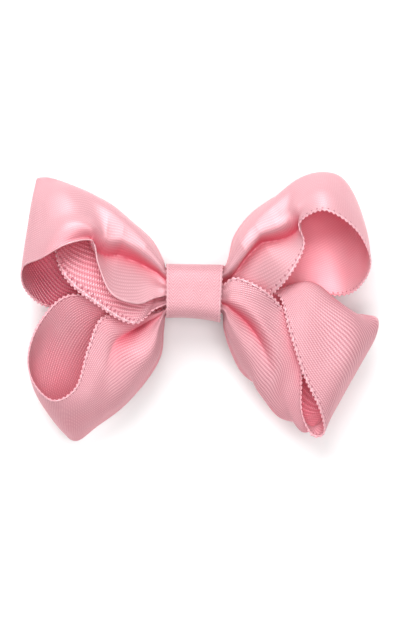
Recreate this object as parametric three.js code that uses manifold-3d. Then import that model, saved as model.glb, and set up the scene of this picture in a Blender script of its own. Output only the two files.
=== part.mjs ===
// Alligator hair clip with a four-loop satin bow.
// Millimetres, +X along the clip towards its thumb tabs, +Y up the bow, +Z out of the bow's face.
// The origin is on the flat back of the lower jaw, under the middle of the centre wrap.
import * as THREE from 'three';
import Module from 'manifold-3d';
import { ParametricGeometry } from 'three/addons/geometries/ParametricGeometry.js';
import { mergeVertices } from 'three/addons/utils/BufferGeometryUtils.js';

const gap = 0.3;

// Clip
const jawWidth = 8.4;
const plateThickness = 0.8;
const tipX = -26;
const tabEndX = 24;
const hingeX = 11;
const hingeZ = 3.6;
const pinRadius = 0.9;
const pinClearance = 0.05;
const earThickness = 0.7;
const earRadius = 1.7;
const armTopZ = 6.6;
const armFlatFrom = -9;
const armFlatTo = 7.5;
const tabTopZ = 7.9;
const toothCount = 5;
const toothHeight = 1.1;

// Spring
const wireRadius = 0.35;
const coilPitch = 0.78;
const coilSideGap = 0.4;
const springLegLength = 8;

// Ribbons
const ribbonThickness = 0.7;
const liningWidth = 10;
const liningThickness = 0.4;
const padHeight = 1.0;
const wrapWidth = 13;
const wrapThickness = 0.5;
const waistHalfHeight = 5.6;
const waistTopZ = 18.4;
const threadRadius = 0.25;
const threadTurns = 3;

// How far the widest loop stands out past the wrap's edge.
const loopReach = 37.5;
// The loops flare to their full width over this length past the wrap.
const flareLength = 6;
// The loops' rows below are drawn for this wrap edge, reach and waist.
const drawnWrapEdge = 6.5;
const drawnReach = 37.5;
const drawnWaistHalfHeight = 5.6;
const drawnWaistBottomZ = 8.9;
const drawnWaistTopZ = 18.4;

// The coil fills the room between the inner ears with whole turns and a half.
const coilHalfLength = jawWidth / 2 - 2 * earThickness - gap - coilSideGap - wireRadius;
const coilTurns = Math.round(2 * coilHalfLength / coilPitch - 0.5);

const liningTopZ = armTopZ + gap + liningThickness;
const padTopZ = liningTopZ + gap + padHeight;
const waistBottomZ = padTopZ + gap;
const waistHalfLength = wrapWidth / 2 - 2.1;
const waistCollar = 0.545 * waistHalfLength;
const threadReach = 0.7 * (waistHalfLength - waistCollar);

// Rows run out from the waist, round the loop's outer end and back behind it.
// Each row crosses the ribbon from its front selvedge to its rear selvedge.
const upperRightLoop = [
  [[4.9, 0.6, 14.0], [4.9, 1.2, 14.9], [4.9, 4.2, 16.6], [4.9, 4.4, 14.2]],
  [[7.0, 0.2, 14.2], [7.0, 2.0, 14.8], [7.0, 4.7, 17.0], [6.9, 4.9, 13.9]],
  [[10.5, -1.0, 14.6], [9.4, 3.2, 15.0], [8.6, 7.2, 17.9], [8.2, 7.8, 13.4]],
  [[16.5, -1.6, 15.8], [12.8, 7.4, 16.2], [11.2, 12.8, 18.6], [9.6, 13.2, 12.0]],
  [[22.0, 3.2, 19.8], [16.4, 11.0, 17.0], [14.2, 16.6, 18.4], [13.2, 18.2, 11.0]],
  [[25.8, 10.6, 20.4], [22.2, 14.4, 18.6], [18.6, 20.6, 18.2], [18.2, 22.0, 10.4]],
  [[24.6, 16.0, 21.8], [24.5, 21.0, 20.6], [24.2, 26.2, 15.6], [24.0, 25.0, 9.4]],
  [[30.5, 19.0, 24.6], [30.4, 24.4, 21.6], [30.0, 28.2, 15.6], [29.8, 27.2, 8.8]],
  [[37.8, 14.6, 24.0], [36.6, 20.6, 21.4], [35.2, 26.6, 16.0], [34.4, 27.2, 9.6]],
  [[41.5, 7.6, 20.8], [40.8, 13.8, 18.4], [38.8, 20.8, 14.0], [36.0, 25.2, 9.2]],
  [[40.0, 2.2, 16.4], [39.8, 8.4, 14.0], [37.2, 16.4, 10.4], [34.0, 22.8, 7.4]],
  [[35.4, -0.8, 12.6], [33.6, 5.6, 10.4], [31.0, 13.2, 8.6], [28.6, 20.0, 6.9]],
  [[24.0, 0.2, 10.8], [23.0, 4.6, 9.8], [20.6, 10.2, 9.0], [18.6, 15.0, 7.9]],
  [[12.5, 1.2, 11.0], [12.0, 3.4, 10.6], [11.0, 6.4, 10.2], [10.4, 8.4, 9.8]],
  [[4.9, 0.6, 12.4], [4.9, 1.4, 11.4], [4.9, 3.8, 10.8], [4.9, 4.4, 12.0]]
];
const upperLeftLoop = [
  [[-4.9, -0.6, 16.4], [-4.9, 1.4, 16.2], [-4.9, 4.2, 16.8], [-4.9, 4.4, 14.2]],
  [[-7.0, -1.0, 17.0], [-7.0, 2.4, 16.2], [-7.0, 5.1, 17.2], [-6.9, 5.3, 13.9]],
  [[-9.4, -1.6, 17.6], [-9.0, 4.0, 16.0], [-8.2, 7.2, 17.9], [-7.8, 7.8, 13.6]],
  [[-13.6, -3.0, 19.2], [-13.2, 6.8, 16.6], [-12.0, 12.6, 18.6], [-10.4, 12.4, 12.0]],
  [[-19.6, -0.6, 21.2], [-17.6, 9.4, 17.8], [-16.4, 16.6, 18.6], [-15.2, 16.8, 11.2]],
  [[-22.6, 6.4, 22.2], [-21.4, 11.4, 19.0], [-20.0, 19.4, 18.4], [-20.0, 20.8, 10.8]],
  [[-23.6, 12.0, 22.6], [-25.0, 16.2, 21.2], [-25.6, 23.0, 17.0], [-26.6, 24.2, 10.8]],
  [[-30.0, 11.2, 23.6], [-30.2, 17.4, 21.4], [-30.8, 24.2, 17.6], [-32.2, 26.4, 12.0]],
  [[-36.0, 7.8, 22.2], [-35.6, 14.4, 20.4], [-35.6, 22.2, 17.4], [-35.8, 27.2, 13.2]],
  [[-40.6, 5.6, 18.8], [-39.8, 12.4, 17.6], [-38.8, 20.4, 15.2], [-37.7, 26.2, 12.4]],
  [[-40.4, 0.6, 14.4], [-39.2, 7.6, 11.6], [-36.6, 15.0, 10.0], [-34.6, 20.8, 11.8]],
  [[-35.2, -3.6, 10.6], [-31.0, 3.8, 9.0], [-23.2, 13.4, 12.6], [-31.6, 4.8, 16.6]],
  [[-26.0, -2.6, 9.6], [-21.6, 3.2, 9.4], [-16.4, 8.4, 13.2], [-22.0, -3.9, 17.0]],
  [[-16.8, -1.6, 9.8], [-13.2, 1.2, 11.0], [-10.4, 0.6, 14.8], [-14.5, -7.6, 16.9]],
  [[-10.0, -0.8, 11.0], [-9.4, -0.4, 12.4], [-8.8, -1.8, 14.6], [-9.8, -4.4, 15.6]],
  [[-4.9, -0.6, 11.4], [-4.9, -0.5, 12.6], [-4.9, -1.8, 14.2], [-4.9, -2.4, 15.6]]
];
const lowerLeftLoop = [
  [[-4.9, -3.0, 13.4], [-4.9, -3.4, 14.4], [-4.9, -3.9, 15.4], [-4.9, -4.1, 12.8]],
  [[-7.0, -3.9, 13.4], [-7.0, -4.4, 14.6], [-7.0, -5.1, 15.5], [-6.9, -5.3, 12.2]],
  [[-10.0, -4.8, 13.6], [-9.4, -6.2, 14.8], [-8.2, -8.2, 15.6], [-7.5, -9.0, 11.6]],
  [[-16.6, -5.4, 13.8], [-14.4, -9.8, 14.6], [-9.8, -14.4, 16.0], [-8.2, -15.2, 9.8]],
  [[-22.2, -6.4, 14.8], [-18.6, -12.6, 15.6], [-13.8, -19.6, 15.6], [-11.4, -21.0, 9.4]],
  [[-25.2, -13.4, 17.0], [-21.2, -18.4, 16.6], [-17.6, -25.0, 14.4], [-17.2, -27.6, 8.6]],
  [[-28.0, -22.6, 18.4], [-24.8, -26.0, 16.8], [-23.4, -30.2, 13.0], [-23.6, -32.4, 7.8]],
  [[-33.4, -25.8, 18.6], [-31.6, -29.6, 15.8], [-29.4, -33.6, 11.6], [-28.2, -35.8, 7.4]],
  [[-38.2, -21.6, 17.0], [-36.8, -26.0, 14.0], [-33.8, -31.0, 10.0], [-31.0, -34.4, 6.2]],
  [[-39.6, -15.0, 14.6], [-38.6, -20.0, 11.2], [-34.8, -26.4, 8.2], [-30.8, -30.6, 5.6]],
  [[-36.6, -6.8, 13.4], [-34.8, -12.2, 10.2], [-30.4, -18.6, 7.2], [-26.6, -24.0, 5.4]],
  [[-29.6, -0.8, 13.2], [-27.4, -6.6, 11.2], [-22.6, -11.8, 8.6], [-18.8, -16.6, 6.8]],
  [[-17.0, -3.4, 12.4], [-15.4, -5.4, 11.2], [-13.0, -7.0, 10.2], [-11.4, -8.4, 9.6]],
  [[-4.9, -3.4, 11.6], [-4.9, -4.0, 11.0], [-4.9, -3.9, 10.6], [-4.9, -4.1, 11.4]]
];
const lowerRightLoop = [
  [[4.9, 0.4, 16.4], [4.9, -1.6, 16.8], [4.9, -3.8, 16.6], [4.9, -4.2, 13.6]],
  [[7.0, 1.6, 17.0], [6.9, -2.2, 17.2], [6.9, -4.9, 16.8], [6.9, -5.3, 13.6]],
  [[10.0, 3.2, 17.6], [8.8, -2.6, 17.6], [7.9, -7.6, 16.6], [7.2, -9.2, 13.0]],
  [[16.0, 0.6, 18.7], [12.8, -5.2, 17.2], [10.4, -12.0, 16.0], [8.9, -14.6, 11.0]],
  [[20.9, -4.0, 16.5], [16.8, -9.8, 16.8], [13.0, -17.0, 15.2], [12.2, -20.2, 10.0]],
  [[25.6, -12.0, 15.8], [20.4, -16.6, 16.0], [15.6, -24.0, 13.2], [18.6, -22.8, 7.6]],
  [[25.4, -20.5, 15.6], [21.2, -25.4, 14.2], [21.4, -30.2, 10.6], [28.6, -19.4, 6.9]],
  [[25.5, -28.6, 15.2], [26.0, -33.5, 12.4], [31.2, -29.0, 9.0], [36.4, -19.6, 7.8]],
  [[28.0, -34.2, 14.4], [32.4, -29.4, 11.0], [36.8, -22.4, 9.2], [40.8, -15.4, 8.6]],
  [[30.8, -33.6, 15.6], [33.7, -27.4, 13.4], [38.5, -19.0, 12.0], [43.4, -10.6, 11.0]],
  [[29.8, -28.0, 18.0], [34.0, -22.0, 17.0], [39.5, -13.4, 15.2], [43.8, -6.6, 12.0]],
  [[26.0, -20.0, 18.8], [31.2, -14.4, 17.8], [38.2, -7.2, 16.0], [40.6, -5.6, 11.6]],
  [[22.6, -9.6, 18.6], [27.6, -5.6, 17.8], [33.6, -2.1, 15.6], [33.2, -5.0, 11.0]],
  [[19.8, -0.7, 15.9], [23.0, 1.0, 16.4], [26.8, 2.2, 15.2], [27.0, -2.2, 11.6]],
  [[12.6, -1.4, 12.4], [14.4, -2.2, 12.4], [16.8, -3.4, 12.0], [18.4, -5.2, 11.0]],
  [[4.9, -2.4, 12.8], [4.9, -3.2, 11.4], [4.9, -4.2, 10.8], [4.9, -4.4, 12.2]]
];

const satin = { color: 0xf0a0af, roughness: 0.42, metalness: 0 };
const steel = { color: 0xc4c6c9, roughness: 0.3, metalness: 1 };

function addPiece(parent, name, geometry, look) {
  const mesh = new THREE.Mesh(geometry, new THREE.MeshStandardMaterial(look));
  mesh.name = name;
  parent.add(mesh);
}

const solids = await Module();
solids.setup();

function toSolid(geometry) {
  const bare = new THREE.BufferGeometry();
  bare.setAttribute('position', (geometry.index ? geometry.toNonIndexed() : geometry).getAttribute('position'));
  const welded = mergeVertices(bare, 1e-4);
  const vertProperties = new Float32Array(welded.getAttribute('position').array);
  const triVerts = new Uint32Array(welded.index.array);
  return new solids.Manifold(new solids.Mesh({ numProp: 3, vertProperties, triVerts }));
}

function toGeometry(solid) {
  const mesh = solid.getMesh();
  const geometry = new THREE.BufferGeometry();
  geometry.setAttribute('position', new THREE.BufferAttribute(mesh.vertProperties, 3));
  geometry.setIndex(new THREE.BufferAttribute(mesh.triVerts, 1));
  return geometry;
}

// A side view in X and Z, pushed out evenly to both sides of the XZ plane.
function sidePlate(shape, width) {
  const geometry = new THREE.ExtrudeGeometry(shape, { depth: width, bevelEnabled: false, curveSegments: 10 });
  geometry.rotateX(Math.PI / 2);
  geometry.translate(0, width / 2, 0);
  return geometry;
}

function shapeOf(points) {
  return new THREE.Shape(points.map(([x, z]) => new THREE.Vector2(x, z)));
}

// Weld a closed parametric skin and drop the slivers where its ends pinch shut.
function closedSkin(surface, around, along) {
  const skin = new ParametricGeometry(surface, around, along);
  skin.deleteAttribute('normal');
  skin.deleteAttribute('uv');
  const welded = mergeVertices(skin, 1e-4);
  const corners = welded.index.array;
  const kept = [];
  for (let i = 0; i < corners.length; i += 3) {
    const [a, b, c] = corners.slice(i, i + 3);
    if (a !== b && b !== c && c !== a) {
      kept.push(a, b, c);
    }
  }
  welded.setIndex(kept);
  return welded;
}

// Cubic through evenly spaced values, with the ends carried on straight.
function along(values, t) {
  const last = values.length - 1;
  const i = Math.min(Math.max(Math.floor(t), 0), last - 1);
  const f = t - i;
  const p1 = values[i];
  const p2 = values[i + 1];
  const p0 = i > 0 ? values[i - 1] : p1.clone().multiplyScalar(2).sub(p2);
  const p3 = i + 2 <= last ? values[i + 2] : p2.clone().multiplyScalar(2).sub(p1);
  const blend = new THREE.Vector3();
  const weights = [
    -0.5 * f + f * f - 0.5 * f * f * f,
    1 - 2.5 * f * f + 1.5 * f * f * f,
    0.5 * f + 2 * f * f - 1.5 * f * f * f,
    -0.5 * f * f + 0.5 * f * f * f
  ];
  [p0, p1, p2, p3].forEach((p, k) => blend.addScaledVector(p, weights[k]));
  return blend;
}

function ribbonPoint(rows, u, v) {
  const crossing = rows[0].map((_, column) => along(rows.map((row) => row[column]), u * (rows.length - 1)));
  return along(crossing, v * (crossing.length - 1));
}

function ribbonNormal(rows, u, v) {
  const step = 0.004;
  const inside = (value) => Math.min(Math.max(value, step), 1 - step);
  const cu = inside(u);
  const cv = inside(v);
  const du = ribbonPoint(rows, cu + step, cv).sub(ribbonPoint(rows, cu - step, cv));
  const dv = ribbonPoint(rows, cu, cv + step).sub(ribbonPoint(rows, cu, cv - step));
  return du.cross(dv).normalize();
}

// Rows are tied to the wrap: they follow its edge, width and height, and stretch with the loops' reach.
function placed([x, y, z]) {
  const beyond = Math.abs(x) - drawnWrapEdge;
  const stretch = beyond > 0 ? loopReach / drawnReach : 1;
  const held = Math.min(Math.max(1 - beyond / flareLength, 0), 1);
  const spread = 1 + held * (waistHalfHeight / drawnWaistHalfHeight - 1);
  const rise = z - drawnWaistBottomZ;
  const deepened = rise > 0 ? (waistTopZ - waistBottomZ) / (drawnWaistTopZ - drawnWaistBottomZ) : 1;
  return new THREE.Vector3(
    Math.sign(x) * (wrapWidth / 2 + beyond * stretch),
    y * spread,
    waistBottomZ + rise * deepened
  );
}

// A strip with thickness: round its section once, front face out and back face home.
function ribbonLoop(table) {
  const rows = table.map((row) => row.map(placed));
  const across = 7;
  const lengthwise = 44;
  const around = 2 * across + 2;
  return closedSkin((a, u, target) => {
    const k = Math.round(a * around) % around;
    const front = k <= across;
    const v = (front ? k : around - 1 - k) / across;
    const pinched = u < 1e-6 || u > 1 - 1e-6;
    const lift = pinched ? 0 : (front ? -0.5 : 0.5) * ribbonThickness;
    const end = Math.min(Math.max(u, 0.002), 0.998);
    target.copy(ribbonPoint(rows, end, v)).addScaledVector(ribbonNormal(rows, end, v), lift);
  }, around, lengthwise);
}

// A rounded box ring in Y and Z, extruded along X.
function roundedRing(halfY, lowZ, highZ, corner, width, thickness) {
  const outline = (grow) => {
    const path = new THREE.Path();
    const r = corner + grow;
    const y = halfY + grow;
    const low = lowZ - grow;
    const high = highZ + grow;
    path.moveTo(-y + r, low);
    path.lineTo(y - r, low);
    path.absarc(y - r, low + r, r, -Math.PI / 2, 0, false);
    path.lineTo(y, high - r);
    path.absarc(y - r, high - r, r, 0, Math.PI / 2, false);
    path.lineTo(-y + r, high);
    path.absarc(-y + r, high - r, r, Math.PI / 2, Math.PI, false);
    path.lineTo(-y, low + r);
    path.absarc(-y + r, low + r, r, Math.PI, 1.5 * Math.PI, false);
    return path;
  };
  const shape = new THREE.Shape(outline(thickness ?? 0).getPoints(7));
  if (thickness) {
    shape.holes.push(new THREE.Path(outline(0).getPoints(7)));
  }
  const geometry = new THREE.ExtrudeGeometry(shape, { depth: width, bevelEnabled: false });
  geometry.rotateY(Math.PI / 2);
  geometry.rotateX(Math.PI / 2);
  geometry.translate(-width / 2, 0, 0);
  return geometry;
}

// A disc or hole across the clip, centred on the hinge.
function hingeDisc(radius, fromY, toY) {
  const geometry = new THREE.CylinderGeometry(radius, radius, toY - fromY, 28);
  geometry.translate(hingeX, (fromY + toY) / 2, hingeZ);
  return geometry;
}

function ear(fromY, toY, rootZ) {
  const low = Math.min(rootZ, hingeZ);
  const high = Math.max(rootZ, hingeZ);
  const web = new THREE.BoxGeometry(2 * earRadius, toY - fromY, high - low);
  web.translate(hingeX, (fromY + toY) / 2, (low + high) / 2);
  return toSolid(web).add(toSolid(hingeDisc(earRadius, fromY, toY)));
}

// Teeth side by side across the jaw, each a wedge that points along Z.
function teeth(x, rootZ, direction) {
  const pitch = jawWidth / toothCount;
  const comb = [];
  for (let i = 0; i <= 2 * toothCount; i += 1) {
    const y = -jawWidth / 2 + (i * pitch) / 2;
    comb.push(new THREE.Vector2(y, i % 2 ? direction * toothHeight : 0));
  }
  comb.push(new THREE.Vector2(jawWidth / 2, -direction * plateThickness));
  comb.push(new THREE.Vector2(-jawWidth / 2, -direction * plateThickness));
  const geometry = new THREE.ExtrudeGeometry(new THREE.Shape(comb), { depth: plateThickness, bevelEnabled: false });
  geometry.rotateX(Math.PI / 2);
  geometry.rotateZ(Math.PI / 2);
  geometry.translate(x, 0, rootZ);
  return toSolid(geometry);
}

const pinHole = toSolid(hingeDisc(pinRadius + pinClearance, -jawWidth, jawWidth));
const outerEar = jawWidth / 2;
const innerEar = outerEar - earThickness - gap;

// Lower jaw: a flat plate with a thumb tab, a tooth row near its tip and the inner pair of ears.
const lowerPlate = sidePlate(shapeOf([
  [tipX + 1.6, 0], [tabEndX, 0], [tabEndX, plateThickness], [tipX + 1.6, plateThickness]
]), jawWidth);
const lowerJaw = toSolid(lowerPlate)
  .add(teeth(tipX + 1.6, plateThickness, 1))
  .add(ear(innerEar - earThickness, innerEar, plateThickness / 2))
  .add(ear(-innerEar, -innerEar + earThickness, plateThickness / 2))
  .subtract(pinHole);

// Upper jaw: an arched arm with a toothed lip at its tip, a raised thumb tab and the outer ears.
const lipZ = plateThickness + gap + toothHeight;
const armTop = [
  [tipX, lipZ], [tipX, lipZ + 1.6], [tipX + 1.2, lipZ + 2.5], [-16, 5.6], [armFlatFrom, armTopZ],
  [armFlatTo, armTopZ], [hingeX + 3, armTopZ + 0.2], [tabEndX - 4, tabTopZ - 0.3], [tabEndX, tabTopZ]
];
const armUnder = [
  [tabEndX, tabTopZ - plateThickness], [tabEndX - 4, tabTopZ - 0.3 - plateThickness],
  [hingeX + 3, armTopZ + 0.2 - plateThickness], [armFlatTo, armTopZ - plateThickness],
  [armFlatFrom, armTopZ - plateThickness], [-16, 5.6 - plateThickness],
  [tipX + 1.6, lipZ + 1.7], [tipX + plateThickness, lipZ + 1.2], [tipX + plateThickness, lipZ]
];
const upperJaw = toSolid(sidePlate(shapeOf([...armTop, ...armUnder]), jawWidth))
  .add(teeth(tipX, lipZ, -1))
  .add(ear(outerEar - earThickness, outerEar, armTopZ - plateThickness / 2))
  .add(ear(-outerEar, -outerEar + earThickness, armTopZ - plateThickness / 2))
  .subtract(pinHole);

// Torsion spring: a leg on the lower tab, the coil round the pin, a leg under the upper tab.
class SpringWire extends THREE.Curve {
  getPoint(t, target = new THREE.Vector3()) {
    const radius = pinRadius + gap + wireRadius;
    const lowAngle = -Math.PI / 2;
    const sweep = 2 * Math.PI * coilTurns + Math.PI;
    const legShare = 0.16;
    const coil = Math.min(Math.max((t - legShare) / (1 - 2 * legShare), 0), 1);
    const angle = lowAngle - sweep * coil;
    target.set(
      hingeX + radius * Math.cos(angle),
      -coilHalfLength + 2 * coilHalfLength * coil,
      hingeZ + radius * Math.sin(angle)
    );
    const beyond = Math.max(legShare - t, t - 1 + legShare, 0) / legShare;
    target.x += springLegLength * beyond;
    target.z += (t < 0.5 ? -0.25 : 0.5) * beyond;
    return target;
  }
}

const spring = new THREE.ExtrudeGeometry(
  new THREE.Shape(new THREE.Path().absarc(0, 0, wireRadius, 0, 2 * Math.PI, false).getPoints(4)),
  { extrudePath: new SpringWire(), steps: 88, bevelEnabled: false }
);

// Thread turns that pull the waist together, wound in a helix round it.
class ThreadPath extends THREE.Curve {
  getPoint(t, target = new THREE.Vector3()) {
    const turn = 2 * Math.PI * threadTurns * t;
    const halfY = waistHalfHeight - 0.45;
    const halfZ = (waistTopZ - waistBottomZ) / 2 - 0.45;
    const round = (Math.abs(Math.cos(turn)) ** 4 + Math.abs(Math.sin(turn)) ** 4) ** -0.25;
    return target.set(
      threadReach * (2 * t - 1),
      halfY * round * Math.cos(turn),
      (waistTopZ + waistBottomZ) / 2 + halfZ * round * Math.sin(turn)
    );
  }
}

const thread = new THREE.ExtrudeGeometry(
  new THREE.Shape(new THREE.Path().absarc(0, 0, threadRadius, 0, 2 * Math.PI, false).getPoints(3)),
  { extrudePath: new ThreadPath(), steps: 66, bevelEnabled: false }
);

// The waist is necked in where the thread lies.
const neckLength = 2 * waistHalfLength - waistCollar;
const waistSide = roundedRing(waistHalfHeight, waistBottomZ, waistTopZ, 2.2, waistCollar, 0);
const waistNeck = roundedRing(waistHalfHeight - 1.1, waistBottomZ + 1.1, waistTopZ - 1.1, 1.8, neckLength, 0);
waistSide.translate(-neckLength / 2, 0, 0);
const waistFar = waistSide.clone().translate(neckLength, 0, 0);
const waist = toSolid(waistSide).add(toSolid(waistNeck)).add(toSolid(waistFar));

const group = new THREE.Group();
group.name = 'bow_hair_clip';
const clip = new THREE.Group();
const bow = new THREE.Group();
group.add(clip, bow);

addPiece(clip, 'lower_jaw', toGeometry(lowerJaw), steel);
addPiece(clip, 'upper_jaw', toGeometry(upperJaw), steel);
addPiece(clip, 'hinge_pin', hingeDisc(pinRadius, -outerEar - 0.5, outerEar + 0.5), steel);
addPiece(clip, 'torsion_spring', spring, { ...steel, roughness: 0.35 });

// The ribbon lining follows the arm's top from behind the lip to the end of the tab.
const liningRun = armTop.slice(2);
const liningUnder = liningRun.map(([x, z]) => [x, z + gap]);
const liningOver = liningRun.map(([x, z]) => [x, z + gap + liningThickness]).reverse();
addPiece(bow, 'clip_lining', sidePlate(shapeOf([...liningUnder, ...liningOver]), liningWidth), satin);

const pad = roundedRing(waistHalfHeight - 1.4, liningTopZ + gap, padTopZ, 0.45, armFlatTo - armFlatFrom - 5.5, 0);
addPiece(bow, 'glue_pad', pad, { color: 0xe9e2cf, roughness: 0.45, metalness: 0 });
addPiece(bow, 'bow_waist', toGeometry(waist), satin);
addPiece(bow, 'gathering_thread', thread, { color: 0xe8b7bf, roughness: 0.8, metalness: 0 });

const wrapBottomZ = armTopZ - plateThickness - gap;
const wrap = roundedRing(waistHalfHeight + gap, wrapBottomZ, waistTopZ + gap, 1.2, wrapWidth, wrapThickness);
addPiece(bow, 'centre_wrap', wrap, satin);

addPiece(bow, 'upper_left_loop', ribbonLoop(upperLeftLoop), satin);
addPiece(bow, 'upper_right_loop', ribbonLoop(upperRightLoop), satin);
addPiece(bow, 'lower_left_loop', ribbonLoop(lowerLeftLoop), satin);
addPiece(bow, 'lower_right_loop', ribbonLoop(lowerRightLoop), satin);

export default group;
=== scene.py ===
import math

import bmesh
import bpy
import numpy as np
from mathutils import Matrix, Vector
from mathutils.bvhtree import BVHTree


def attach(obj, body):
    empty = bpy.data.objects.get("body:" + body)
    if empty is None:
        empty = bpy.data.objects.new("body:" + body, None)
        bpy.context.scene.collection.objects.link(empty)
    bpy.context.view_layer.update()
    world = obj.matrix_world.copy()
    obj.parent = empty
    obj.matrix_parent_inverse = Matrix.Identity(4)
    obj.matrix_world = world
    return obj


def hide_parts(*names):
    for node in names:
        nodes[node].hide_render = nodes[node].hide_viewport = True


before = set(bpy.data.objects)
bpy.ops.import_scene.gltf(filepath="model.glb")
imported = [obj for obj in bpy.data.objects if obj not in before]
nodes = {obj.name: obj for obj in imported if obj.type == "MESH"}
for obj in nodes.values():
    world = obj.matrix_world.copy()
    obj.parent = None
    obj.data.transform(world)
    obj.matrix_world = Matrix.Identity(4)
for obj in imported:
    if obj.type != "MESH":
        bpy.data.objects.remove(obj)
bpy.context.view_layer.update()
mm = 0.001

# Camera: straight down on the bow's face, the clip's length across the frame
cameraSet = {
    "aim": (1.31, -4.05),        # mm, what the middle of the frame looks at
    "height": 615.0,             # mm above the table
    "lens": 147.0,
}


def makeCamera():
    cam = bpy.data.cameras.new("camera")
    cam.lens = cameraSet["lens"]
    cam.clip_start = 0.05
    cam.clip_end = 10
    obj = bpy.data.objects.new("camera", cam)
    bpy.context.scene.collection.objects.link(obj)
    x, y = cameraSet["aim"]
    obj.location = (x * mm, y * mm, cameraSet["height"] * mm)
    bpy.context.scene.camera = obj


makeCamera()
print("camera set")


# Shader helpers: sums on sockets are written as plain Python
class Wire:
    def __init__(self, paint, socket):
        self.paint = paint
        self.socket = socket

    def math(self, operation, *others):
        node = self.paint.tree.nodes.new("ShaderNodeMath")
        node.operation = operation
        for slot, value in enumerate((self,) + others):
            self.paint.feed(node.inputs[slot], value)
        return Wire(self.paint, node.outputs[0])

    def __add__(self, other):
        return self.math("ADD", other)

    def __sub__(self, other):
        return self.math("SUBTRACT", other)

    def __mul__(self, other):
        return self.math("MULTIPLY", other)

    def __truediv__(self, other):
        return self.math("DIVIDE", other)

    def __pow__(self, other):
        return self.math("POWER", other)

    def __neg__(self):
        return self.math("MULTIPLY", -1.0)

    def __radd__(self, other):
        return self.math("ADD", other)

    def __rmul__(self, other):
        return self.math("MULTIPLY", other)

    def __rsub__(self, other):
        return (-self).math("ADD", other)

    def sine(self):
        return self.math("SINE")

    def fraction(self):
        return self.math("FRACT")

    def size(self):
        return self.math("ABSOLUTE")

    def least(self, other):
        return self.math("MINIMUM", other)

    def step(self, low, high):
        span = self.paint.node("ShaderNodeMapRange", {"interpolation_type": "SMOOTHSTEP", "clamp": True},
                               {"Value": self, "From Min": low, "From Max": high})
        return Wire(self.paint, span.outputs["Result"])


class Paint:
    def __init__(self, name):
        self.material = bpy.data.materials.new(name)
        self.material.use_nodes = True
        self.tree = self.material.node_tree
        self.shader = self.tree.nodes["Principled BSDF"]
        self.output = self.tree.nodes["Material Output"]

    def feed(self, target, value):
        if isinstance(value, Wire):
            value = value.socket
        if isinstance(value, bpy.types.NodeSocket):
            self.tree.links.new(value, target)
        else:
            target.default_value = value

    def node(self, kind, settings=None, inputs=None):
        made = self.tree.nodes.new(kind)
        for key, value in (settings or {}).items():
            setattr(made, key, value)
        for key, value in (inputs or {}).items():
            self.feed(made.inputs[key], value)
        return made

    def blend(self, factor, first, second):
        mix = self.node("ShaderNodeMix", {"data_type": "RGBA"})
        self.feed(mix.inputs[0], factor)
        self.feed(mix.inputs[6], first)
        self.feed(mix.inputs[7], second)
        return mix.outputs[2]

    def split(self, socket):
        parts = self.node("ShaderNodeSeparateXYZ", None, {0: socket})
        return [Wire(self, parts.outputs[i]) for i in range(3)]

    def noise(self, vector, scale, detail=3.0, rough=0.5):
        made = self.node("ShaderNodeTexNoise", None,
                         {"Vector": vector, "Scale": scale, "Detail": detail, "Roughness": rough})
        return Wire(self, made.outputs[0])

    def bump(self, height, strength, distance):
        made = self.node("ShaderNodeBump", None,
                         {"Height": height, "Strength": strength, "Distance": distance})
        return made.outputs[0]

    def base(self, **values):
        for key, value in values.items():
            self.feed(self.shader.inputs[key.replace("_", " ")], value)


satinSet = {
    "crest": (0.92, 0.53, 0.58, 1),    # tops of the ribs
    "gap": (0.40, 0.068, 0.11, 1),     # between them
    "shade": (0.74, 0.055, 0.11, 1),   # deep in a fold
    "hollowShadeColor": (0.98, 0.16, 0.245, 1),  # painted shade and glow inside a loop, standing in for light coming through the ribbon
    "hole": (0.36, 0.06, 0.11, 1),     # stitch holes inside the selvedge
    "picotPitch": 1.15,                # mm
    "width": 22.0,
}
# smooth for the upper loops, twill for the lower ones, ribbed for their backs and the lining,
# coarse for the upper left loop's back and herringbone for the wrap; pitch and zigzag in mm
smoothFace = {"pitch": 0.52, "lean": 78.0, "contrast": 0.40, "height": 0.35, "zigzag": 0.0, "roughness": 0.38}
ribbedFace = {"pitch": 0.58, "lean": 72.0, "contrast": 0.80, "height": 0.8, "zigzag": 0.0, "roughness": 0.42}
coarseFace = {"pitch": 0.68, "lean": 72.0, "contrast": 1.15, "height": 1.3, "zigzag": 0.0, "roughness": 0.45}
twillFace = {"pitch": 0.55, "lean": 74.0, "contrast": 0.78, "height": 0.8, "zigzag": 0.0, "roughness": 0.40}
herringbone = {"pitch": 0.47, "lean": 50.0, "contrast": 0.66, "height": 0.45, "zigzag": 3.2, "roughness": 0.5}


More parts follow.
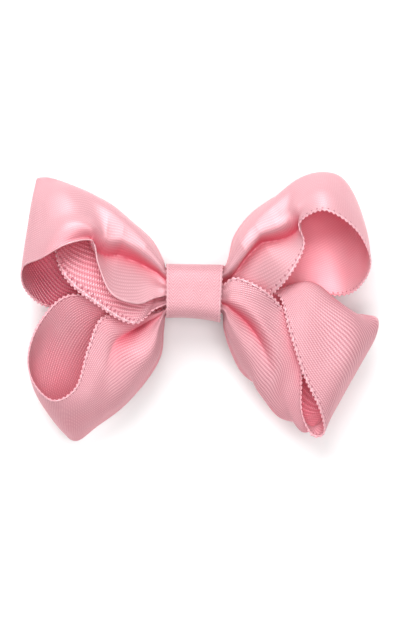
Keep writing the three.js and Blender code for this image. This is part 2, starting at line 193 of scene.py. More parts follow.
def satin(name, width, weave, stitches=1.0):
    paint = Paint(name)
    place = paint.node("ShaderNodeUVMap", {"uv_map": "weave"}).outputs[0]
    u, v, _ = paint.split(place)
    turn = math.radians(weave["lean"])
    ribTurns = 2 * math.pi / weave["pitch"]
    across = v
    if weave["zigzag"]:
        across = ((v / weave["zigzag"]).fraction() - 0.5).size() * weave["zigzag"]
    cloudy = paint.noise(place, 0.16, 2.0)
    fine = paint.noise(place, 2.4, 3.0)
    drift = (cloudy - 0.5) * 0.35
    rib = ((u * math.cos(turn) + across * math.sin(turn) + drift) * ribTurns).sine()
    stitch = ((u * -math.sin(turn) + across * math.cos(turn)) * (ribTurns / 0.95)).sine()
    body = rib * 0.30 + stitch * 0.09 + rib * stitch * 0.30 + 0.5
    edge = v.least(width - v)                          # mm in from the nearer selvedge
    cordAndHighlight = 1.0 - edge.step(0.22, 0.5)
    step = ((u / satinSet["picotPitch"]).fraction() - 0.5) * satinSet["picotPitch"]
    inner = edge - 0.62
    hem = Wire(paint, paint.node("ShaderNodeAttribute", {"attribute_name": "hem"}).outputs["Fac"])
    hole = (1.0 - (step * step * 2.6 + inner * inner * 1.6).step(0.02, 0.12)) * hem * stitches
    ribs = (1.0 - body) * (1.0 - cordAndHighlight)
    coarse = Wire(paint, paint.node("ShaderNodeAttribute", {"attribute_name": "coarse"}).outputs["Fac"])
    depth = coarse * 0.4 + weave["contrast"]
    color = paint.blend(ribs * depth + fine * 0.06, satinSet["crest"], satinSet["gap"])
    color = paint.blend(cloudy.step(0.4, 0.75) * 0.12, color, (0.92, 0.55, 0.60, 1))
    color = paint.blend(hole * 0.6, color, satinSet["hole"])
    # painted highlight: the selvedge cord is lightened as if catching the light; the cord also raises the
    # bump and clears the ribs
    color = paint.blend(cordAndHighlight * 0.35, color, (0.86, 0.46, 0.51, 1))
    # painted shade: the colour darkens and reddens along each crease and up the wall beside it
    foldShade = Wire(paint, paint.node("ShaderNodeAttribute", {"attribute_name": "foldShade"}).outputs["Fac"])
    hollowShade = Wire(paint, paint.node("ShaderNodeAttribute", {"attribute_name": "hollowShade"}).outputs["Fac"])
    # painted shade and glow: places hidden from the sky turn a deeper, redder pink
    color = paint.blend(hollowShade * 0.75, color, satinSet["hollowShadeColor"])
    color = paint.blend(foldShade * 0.8, color, satinSet["shade"])
    height = body * (coarse * 0.8 + weave["height"]) + fine * 0.15 - hole * 1.3 + cordAndHighlight * 0.8
    paint.base(Base_Color=color, Roughness=weave["roughness"] + 0.12 * ribs,
               Normal=paint.bump(height, 0.7, 0.00012))
    paint.shader.inputs["Specular IOR Level"].default_value = 0.7
    paint.shader.inputs["Metallic"].default_value = 0.3
    paint.shader.inputs["Sheen Weight"].default_value = 0.25
    paint.shader.inputs["Sheen Roughness"].default_value = 0.35
    paint.shader.inputs["Sheen Tint"].default_value = (1.0, 0.86, 0.88, 1)
    through = paint.node("ShaderNodeBsdfTranslucent", None, {"Color": (0.88, 0.22, 0.30, 1)})
    mixed = paint.node("ShaderNodeMixShader", None, {0: 0.15})
    paint.tree.links.new(paint.shader.outputs[0], mixed.inputs[1])
    paint.tree.links.new(through.outputs[0], mixed.inputs[2])
    paint.tree.links.new(mixed.outputs[0], paint.output.inputs[0])
    return paint.material


def threadPaint():
    paint = Paint("satinThread")
    place = paint.node("ShaderNodeTexCoord").outputs["Object"]
    fibre = paint.noise(place, 5200.0, 3.0)
    color = paint.blend(fibre.step(0.3, 0.7), (0.80, 0.34, 0.40, 1), (0.90, 0.50, 0.55, 1))
    paint.base(Base_Color=color, Roughness=0.42 + fibre * 0.2, Normal=paint.bump(fibre, 0.4, 0.00005))
    return paint.material


def steelPaint():
    paint = Paint("clipSteel")
    place = paint.node("ShaderNodeTexCoord").outputs["Object"]
    x, y, z = paint.split(place)
    grain = paint.node("ShaderNodeCombineXYZ", None, {0: x * 160.0, 1: y * 5200.0, 2: z * 900.0}).outputs[0]
    brushed = paint.noise(grain, 1.0, 4.0, 0.6)
    smudge = paint.noise(place, 170.0, 3.0)
    spots = paint.noise(place, 900.0, 4.0, 0.65)
    color = paint.blend(smudge.step(0.35, 0.75), (0.60, 0.60, 0.61, 1), (0.74, 0.74, 0.75, 1))
    color = paint.blend(spots.step(0.62, 0.8) * 0.35, color, (0.42, 0.39, 0.35, 1))
    paint.base(Base_Color=color, Roughness=0.24 + brushed * 0.16 + smudge * 0.08,
               Normal=paint.bump(brushed * 0.5 + spots * 0.5, 0.25, 0.00004))
    paint.shader.inputs["Metallic"].default_value = 1.0
    return paint.material


def gluePaint():
    paint = Paint("hotGlue")
    place = paint.node("ShaderNodeTexCoord").outputs["Object"]
    lumps = paint.noise(place, 420.0, 3.0)
    color = paint.blend(lumps.step(0.3, 0.7), (0.80, 0.72, 0.56, 1), (0.90, 0.85, 0.72, 1))
    paint.base(Base_Color=color, Roughness=0.25 + lumps * 0.2, Normal=paint.bump(lumps, 0.5, 0.0003))
    return paint.material


satinFace = satin("satinFace", satinSet["width"], smoothFace)
satinTwill = satin("satinTwill", satinSet["width"], twillFace)
satinBack = satin("satinBack", satinSet["width"], ribbedFace)
satinCoarse = satin("satinCoarse", satinSet["width"], coarseFace)
satinWrap = satin("satinWrap", 13.0, herringbone, 0.35)
satinLining = satin("satinLining", 10.0, ribbedFace)
thread = threadPaint()
steel = steelPaint()
glue = gluePaint()
print("finishes made")

# The bow's ribbon. Rows run out from the waist, round the loop's end and back behind it;
# each row crosses the ribbon from its front selvedge to its rear selvedge, in mm.
upperRightLoop = [
    [[4.9, 0.6, 14.0], [4.9, 1.2, 14.9], [4.9, 4.2, 16.6], [4.9, 4.4, 14.2]],
    [[7.0, 0.2, 14.2], [7.0, 2.0, 14.8], [7.0, 4.7, 17.0], [6.9, 4.9, 13.9]],
    [[10.5, -1.0, 14.6], [9.4, 3.2, 15.0], [8.6, 7.2, 17.9], [8.2, 7.8, 13.4]],
    [[16.5, -1.6, 15.8], [12.8, 7.4, 16.2], [11.2, 12.8, 18.6], [9.6, 13.2, 12.0]],
    [[22.0, 3.2, 19.8], [16.4, 11.0, 17.0], [14.2, 16.6, 18.4], [13.2, 18.2, 11.0]],
    [[25.8, 10.6, 20.4], [22.2, 14.4, 18.6], [18.6, 20.6, 18.2], [18.2, 22.0, 10.4]],
    [[24.6, 16.0, 21.8], [24.5, 21.0, 20.6], [24.2, 26.2, 15.6], [24.0, 25.0, 9.4]],
    [[30.5, 19.0, 24.6], [30.4, 24.4, 21.6], [30.0, 28.2, 15.6], [29.8, 27.2, 8.8]],
    [[37.8, 14.6, 24.0], [36.6, 20.6, 21.4], [35.2, 26.6, 16.0], [34.4, 27.2, 9.6]],
    [[41.5, 7.6, 20.8], [40.8, 13.8, 18.4], [38.8, 20.8, 14.0], [36.0, 25.2, 9.2]],
    [[40.0, 2.2, 16.4], [39.8, 8.4, 14.0], [37.2, 16.4, 10.4], [34.0, 22.8, 7.4]],
    [[35.4, -0.8, 12.6], [33.6, 5.6, 10.4], [31.0, 13.2, 8.6], [28.6, 20.0, 6.9]],
    [[24.0, 0.2, 10.8], [23.0, 4.6, 9.8], [20.6, 10.2, 9.0], [18.6, 15.0, 7.9]],
    [[12.5, 1.2, 11.0], [12.0, 3.4, 10.6], [11.0, 6.4, 10.2], [10.4, 8.4, 9.8]],
    [[4.9, 0.6, 12.4], [4.9, 1.4, 11.4], [4.9, 3.8, 10.8], [4.9, 4.4, 12.0]]
]
upperLeftLoop = [
    [[-4.9, -0.6, 16.4], [-4.9, 1.4, 16.2], [-4.9, 4.2, 16.8], [-4.9, 4.4, 14.2]],
    [[-7.0, -1.0, 17.0], [-7.0, 2.4, 16.2], [-7.0, 5.1, 17.2], [-6.9, 5.3, 13.9]],
    [[-9.4, -1.6, 17.6], [-9.0, 4.0, 16.0], [-8.2, 7.2, 17.9], [-7.8, 7.8, 13.6]],
    [[-13.6, -3.0, 19.2], [-13.2, 6.8, 16.6], [-12.0, 12.6, 18.6], [-10.4, 12.4, 12.0]],
    [[-19.6, -0.6, 21.2], [-17.6, 9.4, 17.8], [-16.4, 16.6, 18.6], [-15.2, 16.8, 11.2]],
    [[-22.6, 6.4, 22.2], [-21.4, 11.4, 19.0], [-20.0, 19.4, 18.4], [-20.0, 20.8, 10.8]],
    [[-23.6, 12.0, 22.6], [-25.0, 16.2, 21.2], [-25.6, 23.0, 17.0], [-26.6, 24.2, 10.8]],
    [[-30.0, 11.2, 23.6], [-30.2, 17.4, 21.4], [-30.8, 24.2, 17.6], [-32.2, 26.4, 12.0]],
    [[-36.0, 7.8, 22.2], [-35.6, 14.4, 20.4], [-35.6, 22.2, 17.4], [-35.8, 27.2, 13.2]],
    [[-40.6, 5.6, 18.8], [-39.8, 12.4, 17.6], [-38.8, 20.4, 15.2], [-37.7, 26.2, 12.4]],
    [[-40.4, 0.6, 14.4], [-39.2, 7.6, 11.6], [-36.6, 15.0, 10.0], [-34.6, 20.8, 11.8]],
    [[-35.2, -3.6, 10.6], [-31.0, 3.8, 9.0], [-23.2, 13.4, 12.6], [-31.6, 4.8, 16.6]],
    [[-26.0, -2.6, 9.6], [-21.6, 3.2, 9.4], [-16.4, 8.4, 13.2], [-22.0, -3.9, 17.0]],
    [[-16.8, -1.6, 9.8], [-13.2, 1.2, 11.0], [-10.4, 0.6, 14.8], [-14.5, -7.6, 16.9]],
    [[-10.0, -0.8, 11.0], [-9.4, -0.4, 12.4], [-8.8, -1.8, 14.6], [-9.8, -4.4, 15.6]],
    [[-4.9, -0.6, 11.4], [-4.9, -0.5, 12.6], [-4.9, -1.8, 14.2], [-4.9, -2.4, 15.6]]
]
lowerLeftLoop = [
    [[-4.9, -3.0, 13.4], [-4.9, -3.4, 14.4], [-4.9, -3.9, 15.4], [-4.9, -4.1, 12.8]],
    [[-7.0, -3.9, 13.4], [-7.0, -4.4, 14.6], [-7.0, -5.1, 15.5], [-6.9, -5.3, 12.2]],
    [[-10.0, -4.8, 13.6], [-9.4, -6.2, 14.8], [-8.2, -8.2, 15.6], [-7.5, -9.0, 11.6]],
    [[-16.6, -5.4, 13.8], [-14.4, -9.8, 14.6], [-9.8, -14.4, 16.0], [-8.2, -15.2, 9.8]],
    [[-22.2, -6.4, 14.8], [-18.6, -12.6, 15.6], [-13.8, -19.6, 15.6], [-11.4, -21.0, 9.4]],
    [[-25.2, -13.4, 17.0], [-21.2, -18.4, 16.6], [-17.6, -25.0, 14.4], [-17.2, -27.6, 8.6]],
    [[-28.0, -22.6, 18.4], [-24.8, -26.0, 16.8], [-23.4, -30.2, 13.0], [-23.6, -32.4, 7.8]],
    [[-33.4, -25.8, 18.6], [-31.6, -29.6, 15.8], [-29.4, -33.6, 11.6], [-28.2, -35.8, 7.4]],
    [[-38.2, -21.6, 17.0], [-36.8, -26.0, 14.0], [-33.8, -31.0, 10.0], [-31.0, -34.4, 6.2]],
    [[-39.6, -15.0, 14.6], [-38.6, -20.0, 11.2], [-34.8, -26.4, 8.2], [-30.8, -30.6, 5.6]],
    [[-36.6, -6.8, 13.4], [-34.8, -12.2, 10.2], [-30.4, -18.6, 7.2], [-26.6, -24.0, 5.4]],
    [[-29.6, -0.8, 13.2], [-27.4, -6.6, 11.2], [-22.6, -11.8, 8.6], [-18.8, -16.6, 6.8]],
    [[-17.0, -3.4, 12.4], [-15.4, -5.4, 11.2], [-13.0, -7.0, 10.2], [-11.4, -8.4, 9.6]],
    [[-4.9, -3.4, 11.6], [-4.9, -4.0, 11.0], [-4.9, -3.9, 10.6], [-4.9, -4.1, 11.4]]
]
lowerRightLoop = [
    [[4.9, 0.4, 16.4], [4.9, -1.6, 16.8], [4.9, -3.8, 16.6], [4.9, -4.2, 13.6]],
    [[7.0, 1.6, 17.0], [6.9, -2.2, 17.2], [6.9, -4.9, 16.8], [6.9, -5.3, 13.6]],
    [[10.0, 3.2, 17.6], [8.8, -2.6, 17.6], [7.9, -7.6, 16.6], [7.2, -9.2, 13.0]],
    [[16.0, 0.6, 18.7], [12.8, -5.2, 17.2], [10.4, -12.0, 16.0], [8.9, -14.6, 11.0]],
    [[20.9, -4.0, 16.5], [16.8, -9.8, 16.8], [13.0, -17.0, 15.2], [12.2, -20.2, 10.0]],
    [[25.6, -12.0, 15.8], [20.4, -16.6, 16.0], [15.6, -24.0, 13.2], [18.6, -22.8, 7.6]],
    [[25.4, -20.5, 15.6], [21.2, -25.4, 14.2], [21.4, -30.2, 10.6], [28.6, -19.4, 6.9]],
    [[25.5, -28.6, 15.2], [26.0, -33.5, 12.4], [31.2, -29.0, 9.0], [36.4, -19.6, 7.8]],
    [[28.0, -34.2, 14.4], [32.4, -29.4, 11.0], [36.8, -22.4, 9.2], [40.8, -15.4, 8.6]],
    [[30.8, -33.6, 15.6], [33.7, -27.4, 13.4], [38.5, -19.0, 12.0], [43.4, -10.6, 11.0]],
    [[29.8, -28.0, 18.0], [34.0, -22.0, 17.0], [39.5, -13.4, 15.2], [43.8, -6.6, 12.0]],
    [[26.0, -20.0, 18.8], [31.2, -14.4, 17.8], [38.2, -7.2, 16.0], [40.6, -5.6, 11.6]],
    [[22.6, -9.6, 18.6], [27.6, -5.6, 17.8], [33.6, -2.1, 15.6], [33.2, -5.0, 11.0]],
    [[19.8, -0.7, 15.9], [23.0, 1.0, 16.4], [26.8, 2.2, 15.2], [27.0, -2.2, 11.6]],
    [[12.6, -1.4, 12.4], [14.4, -2.2, 12.4], [16.8, -3.4, 12.0], [18.4, -5.2, 11.0]],
    [[4.9, -2.4, 12.8], [4.9, -3.2, 11.4], [4.9, -4.2, 10.8], [4.9, -4.4, 12.2]]
]

ribbonSet = {
    "thickness": 0.34,           # mm
    "alongCuts": 300,
    "acrossCuts": 56,
    "pleats": 4.5,               # pleat waves across the width where it is gathered
    "pleatDepth": 0.22,          # mm
}
# the small loops of thread along a selvedge, mm
picotSet = {
    "reach": 0.62,
    "inset": 0.46,               # how far its feet stand in from the selvedge
    "halfWidth": 0.38,
    "halfHeight": 0.50,
}


def smoothRun(points, t):
    count = len(points)
    i = np.clip(np.floor(t).astype(int), 0, count - 2)
    f = t - i
    wide = np.concatenate([[2 * points[0] - points[1]], points, [2 * points[-1] - points[-2]]])
    before, here, after, later = wide[i], wide[i + 1], wide[i + 2], wide[i + 3]
    f = f.reshape((-1,) + (1,) * (points.ndim - 1))
    return 0.5 * (2 * here + (after - before) * f + (2 * before - 5 * here + 4 * after - later) * f ** 2
                  + (3 * here - before - 3 * after + later) * f ** 3)


def ribbonSurface(rows, alongCuts, acrossCuts):
    rows = np.array(rows, float)
    lengthwise = smoothRun(rows, np.linspace(0, len(rows) - 1, alongCuts + 1))
    across = smoothRun(lengthwise.transpose(1, 0, 2), np.linspace(0, rows.shape[1] - 1, acrossCuts + 1))
    return across.transpose(1, 0, 2)


def surfaceNormals(grid):
    du = np.gradient(grid, axis=0)
    dv = np.gradient(grid, axis=1)
    n = np.cross(du, dv)
    return n / np.maximum(np.linalg.norm(n, axis=2, keepdims=True), 1e-9)


def gridMesh(name, grid, width, materials, painted=None):
    # A plain grid whose points are set on the surface, with the weave laid on in millimetres
    nu, nv = grid.shape[:2]
    bm = bmesh.new()
    bmesh.ops.create_grid(bm, x_segments=nu - 1, y_segments=nv - 1, size=0.5)
    uv = bm.loops.layers.uv.new("weave")
    marks = {"foldShade": 0.0, "hollowShade": 0.0, "hem": 1.0, "coarse": 0.0}
    layers = {mark: bm.verts.layers.float.new(mark) for mark in marks}
    steps = np.linalg.norm(np.diff(grid, axis=0), axis=2)
    run = np.concatenate([np.zeros((1, nv)), np.cumsum(steps, axis=0)]).mean(axis=1)
    place = {}
    for vert in bm.verts:
        place[vert] = (round((vert.co.x + 0.5) * (nu - 1)), round((vert.co.y + 0.5) * (nv - 1)))
    for face in bm.faces:
        face.smooth = True
        for loop in face.loops:
            i, j = place[loop.vert]
            loop[uv].uv = (run[i], width * j / (nv - 1))
    for vert, (i, j) in place.items():
        vert.co = Vector(grid[i, j]) * mm
        for mark, plain in marks.items():
            vert[layers[mark]] = painted[mark][i, j] if painted else plain
    mesh = bpy.data.meshes.new(name)
    bm.to_mesh(mesh)
    bm.free()
    for material in materials:
        mesh.materials.append(material)
    obj = bpy.data.objects.new(name, mesh)
    bpy.context.scene.collection.objects.link(obj)
    return obj


def thicken(obj, thickness):
    # the far side takes the second finish
    wall = obj.modifiers.new("thickness", "SOLIDIFY")
    wall.thickness = thickness * mm
    wall.offset = 0
    wall.use_even_offset = False
    wall.material_offset = len(obj.data.materials) - 1
    return obj


def picotArch():
    # one loop of edge thread, its feet on the selvedge, standing out along +Y
    bm = bmesh.new()
    section = Matrix.Translation((1, 0, 0)) @ Matrix.Rotation(math.pi / 2, 4, "X") @ Matrix.Scale(0.31, 4)
    bmesh.ops.create_circle(bm, segments=5, radius=1.0, matrix=section)
    bmesh.ops.spin(bm, geom=bm.edges[:], axis=(0, 0, 1), cent=(0, 0, 0), angle=math.pi, steps=5)
    bmesh.ops.recalc_face_normals(bm, faces=bm.faces[:])
    mesh = bpy.data.meshes.new("picotArch")
    bm.to_mesh(mesh)
    bm.free()
    return mesh


arch = picotArch()


def picots(name, lines, body, reach):
    # lines: (points on the selvedge, unit directions outwards, unit normals), in mm
    bm = bmesh.new()
    for points, outwards, normals in lines:
        run = np.concatenate([[0], np.cumsum(np.linalg.norm(np.diff(points, axis=0), axis=1))])
        count = int(run[-1] / satinSet["picotPitch"])
        for k in range(count):
            s = (k + 0.5) * satinSet["picotPitch"]
            at = np.array([np.interp(s, run, points[:, c]) for c in range(3)])
            out = np.array([np.interp(s, run, outwards[:, c]) for c in range(3)])
            up = np.array([np.interp(s, run, normals[:, c]) for c in range(3)])
            out /= np.linalg.norm(out)
            side = np.cross(out, up)
            side /= np.linalg.norm(side)
            up = np.cross(side, out)
            axes = np.stack([side * picotSet["halfWidth"], out * reach, up * picotSet["halfHeight"], at], 1)
            turn = Matrix(axes.tolist() + [[0, 0, 0, 1]])
            old = len(bm.verts)
            bm.from_mesh(arch)
            bm.verts.ensure_lookup_table()
            fresh = bm.verts[old:]
            bmesh.ops.transform(bm, matrix=Matrix.Scale(mm, 4) @ turn, verts=fresh)
    bmesh.ops.recalc_face_normals(bm, faces=bm.faces[:])
    for face in bm.faces:
        face.smooth = True
    mesh = bpy.data.meshes.new(name)
    bm.to_mesh(mesh)
    bm.free()
    mesh.materials.append(thread)
    obj = bpy.data.objects.new(name, mesh)
    bpy.context.scene.collection.objects.link(obj)
    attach(obj, body)
    return obj


def selvedges(grid):
    normals = surfaceNormals(grid)
    lines = []
    for edge, inner in ((0, 1), (-1, -2)):
        outwards = grid[:, edge] - grid[:, inner]
        outwards /= np.linalg.norm(outwards, axis=1, keepdims=True)
        lines.append((grid[:, edge] - picotSet["inset"] * outwards, outwards, normals[:, edge]))
    return lines


# "plain" gives the rows between which the front and rear selvedges are smooth, "finishes" the
# ribbon's two sides, and "coarseFrom" the row past which the weave stands out more.
# A crease runs along its ribbon through (row, place across 0 to 1) points. "before" and "after" say
# how far its slopes reach on the two sides, and "ridge" is (place past the crease, width, height); mm.
loopSet = {
    "upperLeft": {
        "rows": upperLeftLoop, "node": "upper_left_loop", "cut": 0.091, "plain": [(0.5, 9.0), (0.5, 9.0)],
        "finishes": [satinFace, satinCoarse], "coarseFrom": 8.5,
        "creases": [{"along": [(0, 0.36), (2, 0.36), (4, 0.31), (5, 0.22), (6, 0.06), (8, 0.0)], "depth": 1.8,
                     "before": 1.6, "after": 1.2, "ridge": (3.9, 2.6, 1.7), "fade": (5.2, 8.5)}],
    },
    "upperRight": {
        "rows": upperRightLoop, "node": "upper_right_loop", "cut": 0.094, "plain": [None, (0.5, 9.0)],
        "finishes": [satinFace, satinFace], "coarseFrom": 99,
        "creases": [{"along": [(0, 0.36), (2, 0.36), (4, 0.36), (5, 0.28), (6, 0.12)], "depth": 2.0,
                     "before": 1.8, "after": 1.2, "ridge": (3.4, 2.2, 2.0), "fade": (5.2, 6.4)}],
    },
    "lowerLeft": {
        "rows": lowerLeftLoop, "node": "lower_left_loop", "cut": 0.093, "plain": [None, (0.5, 9.0)],
        "finishes": [satinTwill, satinBack], "coarseFrom": 99,
        "creases": [{"along": [(0, 0.3), (3, 0.28), (5.2, 0.34)], "depth": 1.5,
                     "before": 1.6, "after": 1.8, "ridge": (4.2, 3.0, 0.8), "fade": (3.0, 5.2)}],
    },
    "lowerRight": {
        "rows": lowerRightLoop, "node": "lower_right_loop", "cut": 0.105, "plain": [None, (0.5, 15.0)],
        "finishes": [satinTwill, satinBack], "coarseFrom": 99,
        "creases": [{"along": [(0, 0.40), (2, 0.42), (5.4, 0.44)], "depth": 1.9,
                     "before": 1.0, "after": 1.8, "ridge": (-2.6, 1.8, 0.9), "fade": (3.2, 5.4)}],
    },
}


def gather(grid, rows, creases, waistX=6.0, reach=12.0):
    # pleats fade out away from the wrap; each crease is a valley with a ridge beside it, and the crease and
    # the wall beside it get painted shade
    nu, nv = grid.shape[:2]
    inwards = surfaceNormals(grid)
    if inwards[nu // 12:nu // 4, nv // 3:2 * nv // 3, 2].mean() > 0:
        inwards = -inwards
    away = np.clip((np.abs(grid[..., 0]) - waistX) / reach, 0, 1)
    v = np.linspace(0, 1, nv)[None, :]
    wave = np.sin(2 * math.pi * ribbonSet["pleats"] * v + 0.7)
    sink = ribbonSet["pleatDepth"] * (1 - away) ** 2 * wave
    row = np.linspace(0, len(rows) - 1, nu)
    span = np.linalg.norm(np.diff(grid, axis=1), axis=2).sum(axis=1)[:, None]
    flare = np.clip(span / satinSet["width"], 0, 1)
    # painted shade, 0 to 1, along each crease and the wall beside its ridge
    foldShades = np.zeros((nu, nv))
    for crease in creases:
        at, across = np.array(crease["along"], float).T
        off = (v - np.interp(row, at, across)[:, None]) * span
        start, end = crease["fade"]
        fade = np.clip((end - row) / (end - start), 0, 1)[:, None]
        fade = fade * fade * (3 - 2 * fade)
        valley = np.exp(-np.abs(off) / np.where(off < 0, crease["before"], crease["after"])) * fade
        place, width, height = crease["ridge"]
        ridge = np.exp(-((off - place * flare) / (width * (0.3 + 0.7 * flare))) ** 2) * fade * flare ** 2
        sink = sink + crease["depth"] * valley * (0.35 + 0.65 * flare) - height * ridge
        # the painted shade reaches up the wall to the ridge on one side and fades fast on the other
        nearRidge = np.exp(-(off / (0.75 * place * flare + 0.01)) ** 2)
        wall = np.where(off * place > 0, nearRidge, np.exp(-np.abs(off) / 0.45))
        foldShades = np.maximum(foldShades, wall * fade)
    return grid + inwards * sink[..., None], foldShades


def hollowShades(grids):
    # how much of the sky each place on the upper side has hidden from it by the other ribbon; this paints
    # shade and a deeper, glowing pink into the hollows
    coarse = [grid[::6, ::4] for grid in grids]
    points, faces = [], []
    for grid in coarse:
        nu, nv = grid.shape[:2]
        base = len(points)
        points += [Vector(p) for p in grid.reshape(-1, 3)]
        corners = [base + i * nv + j for i in range(nu - 1) for j in range(nv - 1)]
        faces += [(c, c + nv, c + nv + 1, c + 1) for c in corners]
    tree = BVHTree.FromPolygons(points, faces)
    rays = []
    for tilt in (0.25, 0.65, 1.05):
        for a in np.linspace(0, 2 * math.pi, 9)[:8]:
            ray = Vector((math.cos(a) * math.sin(tilt), math.sin(a) * math.sin(tilt) + 0.25, math.cos(tilt)))
            rays.append(ray.normalized())
    hidden = []
    for grid, small in zip(grids, coarse):
        ups = surfaceNormals(small)
        ups = ups * np.where(ups[..., 2:] < 0, -1, 1)
        starts = small + 0.5 * ups
        blocked = np.zeros(small.shape[:2])
        for i, j in np.ndindex(*blocked.shape):
            start = Vector(starts[i, j])
            hits = [ray for ray in rays if tree.ray_cast(start, ray, 30.0)[0] is not None]
            blocked[i, j] = len(hits) / len(rays)
        nu, nv = grid.shape[:2]
        wide = np.array([np.interp(np.arange(nv), np.arange(0, nv, 4), line) for line in blocked])
        long = [np.interp(np.arange(nu), np.arange(0, nu, 6), wide[:, j]) for j in range(nv)]
        hidden.append(np.array(long).T)
    return hidden


def makeLoop(name, loop, grid, foldShades, hollowShade):
    front = surfaceNormals(grid)[25:75, 18:38, 2].mean() > 0
    hems = np.ones_like(foldShades)
    lines = []
    perRow = ribbonSet["alongCuts"] / (len(loop["rows"]) - 1)
    for line, plain, side in zip(selvedges(grid), loop["plain"], (slice(0, 20), slice(-20, None))):
        first, last = [round(row * perRow) for row in plain or (0, 0)]
        hems[first:last, side] = 0
        stitched = (slice(0, first), slice(last, None)) if plain else (slice(None),)
        lines += [[part[keep] for part in line] for keep in stitched]
    finishes = loop["finishes"] if front else loop["finishes"][::-1]
    row = np.linspace(0, len(loop["rows"]) - 1, len(grid))
    coarse = np.clip(row - loop["coarseFrom"], 0, 1)[:, None] * np.ones_like(foldShades)
    painted = {"foldShade": foldShades, "hollowShade": hollowShade, "hem": hems, "coarse": coarse}
    obj = gridMesh(name + "Ribbon", grid, satinSet["width"], finishes, painted)
    thicken(obj, ribbonSet["thickness"])
    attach(obj, "bow_body")
    trim = picots(name + "Picots", lines, "bow_body", picotSet["reach"])
    return obj, trim


gathered = {}
for name, loop in loopSet.items():
    grid = ribbonSurface(loop["rows"], ribbonSet["alongCuts"], ribbonSet["acrossCuts"])
    gathered[name] = gather(grid, loop["rows"], loop["creases"])
hidden = hollowShades([grid for grid, foldShades in gathered.values()])
print("ribbon gathered and folded")

for (name, loop), hollowShade in zip(loopSet.items(), hidden):
    ribbon, trim = makeLoop(name, loop, *gathered[name], hollowShade)
    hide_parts(loop["node"])
print("loops folded")

# Centre wrap: a narrower ribbon once round the waist and the clip's arm, lapped underneath
wrapSet = {
    "width": 13.0,               # mm
    "thickness": 0.34,
    "top": 6.35,
    "bottom": -6.7,
    "bottomZ": 4.95,
    "topZ": 19.25,
    "lap": 4.0,                  # mm of overlap underneath
    "length": 56.0,
    "picotReach": 0.5,
}


def wrapPoint(turn, across):
    # turn goes once round from the middle of the underside; across runs -1 to 1 along the clip
    angle = 2 * math.pi * turn - math.pi / 2
    c, s = math.cos(angle), math.sin(angle)
    square = (abs(c) ** 4.2 + abs(s) ** 4.2) ** (-1 / 4.2)
    top = wrapSet["top"] - 0.1 * across
    bottom = wrapSet["bottom"] + 0.45 * (1 - across ** 2) - 0.55 * across
    y = (top + bottom) / 2 + (top - bottom) / 2 * c * square
    low, high = wrapSet["bottomZ"], wrapSet["topZ"] - 0.3 * across ** 2
    z = (low + high) / 2 + (high - low) / 2 * s * square
    lean = 0.35 * max(across, 0.0) * y / 6.5
    return wrapSet["width"] / 2 * across + lean, y, z


def makeWrap():
    around, crosswise = 160, 26
    lapTurn = wrapSet["lap"] / wrapSet["length"]
    grid = np.zeros((around + 1, crosswise + 1, 3))
    for i in range(around + 1):
        turn = -lapTurn / 2 + (1 + lapTurn) * i / around
        under = 0.42 * max(0.0, min(1.0, (turn - (1 - lapTurn)) / lapTurn * 3))
        for j in range(crosswise + 1):
            x, y, z = wrapPoint(turn, 2 * j / crosswise - 1)
            grid[i, j] = (x - 0.1, y, z - under)
    obj = gridMesh("centreWrapRibbon", grid, 13.0, [satinWrap])
    thicken(obj, wrapSet["thickness"])
    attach(obj, "bow_body")
    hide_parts("centre_wrap")
    trim = picots("centreWrapPicots", selvedges(grid), "bow_body", wrapSet["picotReach"])
    return obj, trim


wrap, wrapTrim = makeWrap()
print("wrap made")

# Lining: ribbon laid along the top of the upper arm
liningSet = {"width": 10.0, "thickness": 0.34, "length": 0.049}


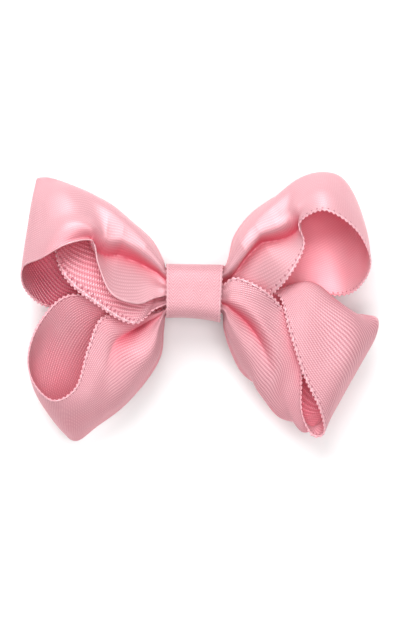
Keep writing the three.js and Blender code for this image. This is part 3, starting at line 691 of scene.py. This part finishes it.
def makeLining():
    # follows the top of the lining's solid, its edges turned down a little
    cad = nodes["clip_lining"].data
    points = {(round(vert.co.x / mm, 3), round(vert.co.z / mm, 3)) for vert in cad.vertices}
    xs = sorted({x for x, z in points})
    tops = [max(z for a, z in points if a == x) for x in xs]
    run = np.linspace(xs[0], xs[-1], 121)
    height = np.interp(run, xs, tops) - 0.2
    crosswise = 18
    grid = np.zeros((len(run), crosswise + 1, 3))
    for j in range(crosswise + 1):
        y = liningSet["width"] * (j / crosswise - 0.5)
        droop = 0.5 * max(0.0, abs(y) - 4.2) ** 1.6
        grid[:, j] = np.stack([run, np.full_like(run, y), height - droop], 1)
    obj = gridMesh("liningRibbon", grid, liningSet["width"], [satinLining])
    thicken(obj, liningSet["thickness"])
    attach(obj, "bow_body")
    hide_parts("clip_lining")


makeLining()
print("lining laid")

for nodeName, material in (
    ("lower_jaw", steel), ("upper_jaw", steel), ("hinge_pin", steel), ("torsion_spring", steel),
    ("glue_pad", glue), ("bow_waist", thread), ("gathering_thread", thread),
):
    data = nodes[nodeName].data
    data.materials.clear()
    data.materials.append(material)


# Studio: pale table, soft lights over the bow's top edge and in front, and a bright room
def makeStage():
    bm = bmesh.new()
    bmesh.ops.create_grid(bm, x_segments=2, y_segments=2, size=1.5)
    mesh = bpy.data.meshes.new("table")
    bm.to_mesh(mesh)
    bm.free()
    obj = bpy.data.objects.new("table", mesh)
    bpy.context.scene.collection.objects.link(obj)
    paint = Paint("tablePaint")
    place = paint.node("ShaderNodeTexCoord").outputs["Object"]
    tone = paint.noise(place, 3.0, 2.0)
    paint.base(Base_Color=paint.blend(tone, (0.96, 0.96, 0.96, 1), (0.99, 0.99, 0.99, 1)))
    paint.shader.inputs["Roughness"].default_value = 0.9
    paint.shader.inputs["Specular IOR Level"].default_value = 0.1
    mesh.materials.append(paint.material)


def softLight(name, at, size, power, aim=(0, 0, 0.015)):
    lamp = bpy.data.lights.new(name, "AREA")
    lamp.shape = "DISK"
    lamp.size = size
    lamp.energy = power
    obj = bpy.data.objects.new(name, lamp)
    bpy.context.scene.collection.objects.link(obj)
    obj.location = at
    obj.rotation_euler = (Vector(aim) - Vector(at)).to_track_quat("-Z", "Y").to_euler()


makeStage()
softLight("key", (-0.20, 0.62, 0.90), 0.75, 9.5)
softLight("front", (0.12, -0.12, 1.1), 0.7, 5.5)
world = bpy.data.worlds.new("room")
bpy.context.scene.world = world
world.use_nodes = True
world.node_tree.nodes["Background"].inputs[0].default_value = (1, 1, 1, 1)
world.node_tree.nodes["Background"].inputs[1].default_value = 0.50
view = bpy.context.scene.view_settings
view.view_transform = "Standard"
view.look = "None"
view.exposure = 0.0
print("studio lit")
